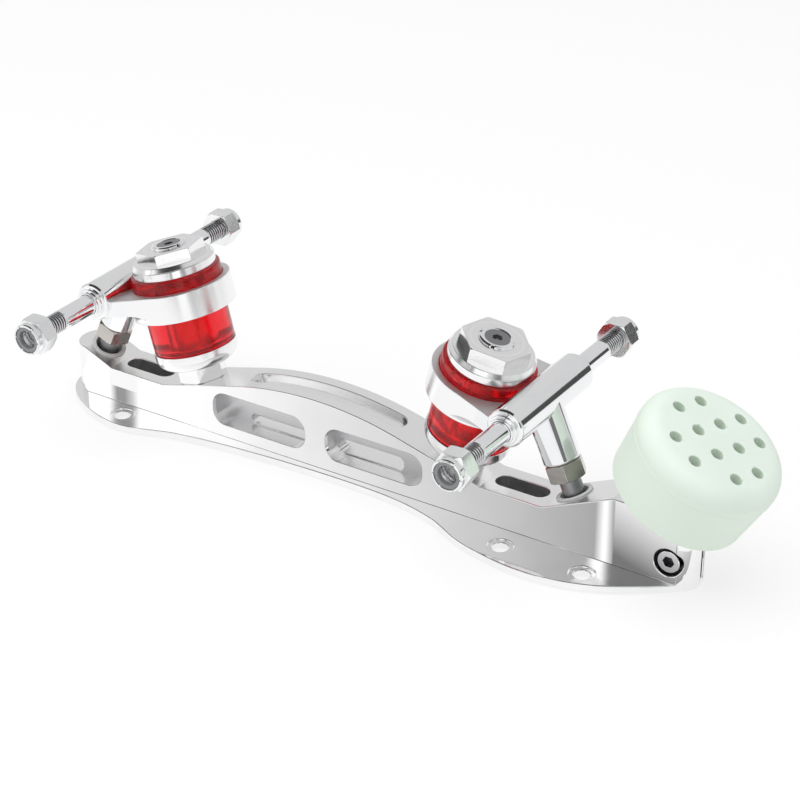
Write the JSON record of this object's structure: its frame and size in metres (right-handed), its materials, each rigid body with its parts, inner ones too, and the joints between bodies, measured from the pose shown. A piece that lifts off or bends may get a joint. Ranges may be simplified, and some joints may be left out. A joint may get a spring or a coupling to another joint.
{
  "type": "roller skate plate",
  "caption": "Aluminium roller skate plate with cushioned steering trucks, threaded wheel axles and an adjustable toe stop, bolted under a boot sole.",
  "frame": {"origin": "on the sole face, on the plate's centre line, midway between the two axles", "axes": "+X from heel to toe, +Y across the plate, away from the clamp screw's head, +Z from the sole face towards the trucks"},
  "size_m": [0.3023, 0.1266, 0.0764],
  "materials": {
    "plate_aluminium": "polished",
    "hanger_polish": "mirror polished",
    "turned_aluminium": "satin turned",
    "nut_aluminium": "bright",
    "chrome": "mirror",
    "zinc": "bright zinc",
    "nickel": "nickel plated",
    "dark_steel": "satin",
    "grey_nylon": "satin",
    "cup_urethane": "satin",
    "red_urethane": "glossy translucent",
    "mint_rubber": "matt"
  },
  "bodies": {
    "plate": {"base_plate": "plate_aluminium", "toe_stop_clamp_screw": "chrome", "front_kingpin": "dark_steel", "front_kingpin_jam_nut": "nut_aluminium", "front_lower_retainer": "turned_aluminium", "front_lower_bushing": "red_urethane", "front_upper_bushing": "red_urethane", "front_upper_retainer": "turned_aluminium", "front_kingpin_nut": "turned_aluminium", "front_kingpin_lock_ring": "chrome", "front_pivot_cup": "cup_urethane", "rear_kingpin": "dark_steel", "rear_kingpin_jam_nut": "nut_aluminium", "rear_lower_retainer": "turned_aluminium", "rear_lower_bushing": "red_urethane", "rear_upper_bushing": "red_urethane", "rear_upper_retainer": "turned_aluminium", "rear_kingpin_nut": "turned_aluminium", "rear_kingpin_lock_ring": "chrome", "rear_pivot_cup": "cup_urethane"},
    "front_truck": {"front_hanger": "hanger_polish", "front_axle": "chrome", "front_axle_nuts": "zinc", "front_axle_nut_inserts": "grey_nylon", "front_pivot_pin": "dark_steel", "front_pivot_jam_nut": "nickel"},
    "rear_truck": {"rear_hanger": "hanger_polish", "rear_axle": "chrome", "rear_axle_nuts": "zinc", "rear_axle_nut_inserts": "grey_nylon", "rear_pivot_pin": "dark_steel", "rear_pivot_jam_nut": "nickel"},
    "toe_stop": {"toe_stop_rubber": "mint_rubber", "toe_stop_stem": "dark_steel"}
  },
  "joints": [
    {"name": "front_truck_steer", "type": "hinge", "parent": "plate", "child": "front_truck", "pos_m": [0.10764, 0, 0.01692], "axis": [-0.734, 0, 0.6792], "range_deg": [-10, 10], "stiffness_Nm_per_rad": 25, "deforming": ["front_lower_bushing", "front_upper_bushing"]},
    {"name": "rear_truck_steer", "type": "hinge", "parent": "plate", "child": "rear_truck", "pos_m": [-0.10764, 0, 0.01692], "axis": [0.734, 0, 0.6792], "range_deg": [-10, 10], "stiffness_Nm_per_rad": 25, "deforming": ["rear_lower_bushing", "rear_upper_bushing"]},
    {"name": "toe_stop_height", "type": "slide", "parent": "plate", "child": "toe_stop", "axis": [0.4695, 0, 0.8829], "range_m": [-0.001, 0.01]}
  ]
}
